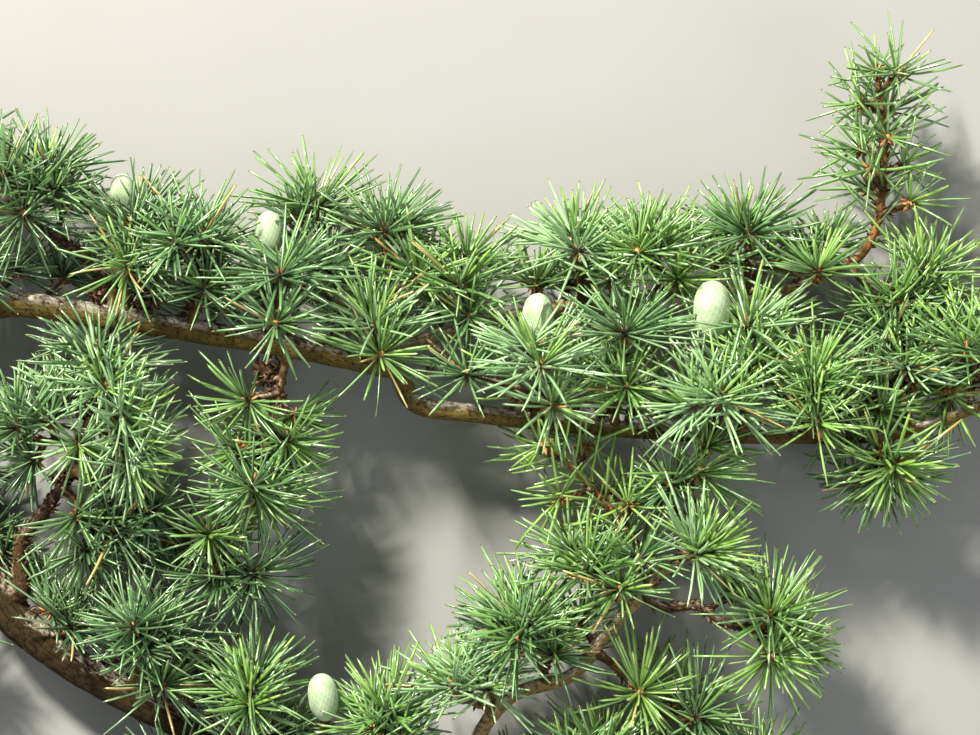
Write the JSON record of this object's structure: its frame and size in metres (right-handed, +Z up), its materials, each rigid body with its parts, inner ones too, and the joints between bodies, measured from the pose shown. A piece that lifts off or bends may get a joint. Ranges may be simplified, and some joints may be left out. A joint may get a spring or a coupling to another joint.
{
  "type": "cut cedar branch",
  "caption": "Forked cut branch of a cedar lying flat, with tufts of needles on short spurs, an upright leader shoot and young upright fruit.",
  "frame": {"origin": "on the floor under the middle of the whole branch's box", "axes": "+X runs along the branch from its cut end to its furthest tip, +Y across it towards the leader shoot, +Z up from the floor towards the lit side"},
  "size_m": [0.539, 0.3416, 0.1019],
  "materials": {
    "bark": "rough scaly bark",
    "young_bark": "fine ridged bark",
    "needles_green": "waxy satin",
    "needles_blue": "waxy satin with a pale bloom",
    "fruit_skin": "matt with a pale bloom"
  },
  "bodies": {
    "root": {"stem_base": "bark", "stem_far": "bark", "main_near": "bark", "main_far": "bark", "rear_limb": "young_bark", "upper_left_twig": "young_bark", "left_rising_twig": "young_bark", "lower_branch": "young_bark", "lower_riser": "young_bark", "lower_side_twig": "young_bark", "fruit_left": "fruit_skin", "fruit_rear": "fruit_skin", "fruit_middle": "fruit_skin", "fruit_right": "fruit_skin", "fruit_lower": "fruit_skin", "far_left_spray": "needles_blue", "left_top_spray": "needles_green", "left_outer_spray": "needles_blue", "left_fruit_spray": "needles_green", "left_star_spray": "needles_green", "left_rear_spray": "needles_blue", "middle_star_spray": "needles_green", "fork_spray": "needles_green", "fork_rear_spray": "needles_blue", "rear_first_spray": "needles_blue", "middle_great_spray": "needles_green", "rear_second_spray": "needles_blue", "middle_right_spray": "needles_green", "rear_third_spray": "needles_blue", "bright_star_spray": "needles_green", "bright_rear_spray": "needles_green", "rear_fourth_spray": "needles_blue", "right_star_spray": "needles_green", "right_inner_spray": "needles_blue", "right_edge_spray": "needles_green", "right_tip_spray": "needles_blue", "right_rear_spray": "needles_blue", "leader_shoot": "needles_blue", "right_hanging_spray": "needles_blue", "long_shoot": "needles_green", "riser_top_spray": "needles_green", "riser_front_spray": "needles_green", "lower_left_spray": "needles_green", "lower_star_spray": "needles_green", "lower_inner_spray": "needles_green", "lower_side_spray": "needles_blue", "lower_low_spray": "needles_blue", "foot_end_spray": "needles_blue", "foot_right_spray": "needles_blue", "foot_middle_spray": "needles_green", "foot_star_spray": "needles_green", "left_low_spray": "needles_green", "foot_under_spray": "needles_blue", "left_under_spray": "needles_blue", "left_inner_spray": "needles_blue", "left_shade_spray": "needles_green", "left_fan_spray": "needles_green", "left_side_spray": "needles_green", "left_rising_spray": "needles_green", "hanging_spray": "needles_green"}
  },
  "joints": []
}
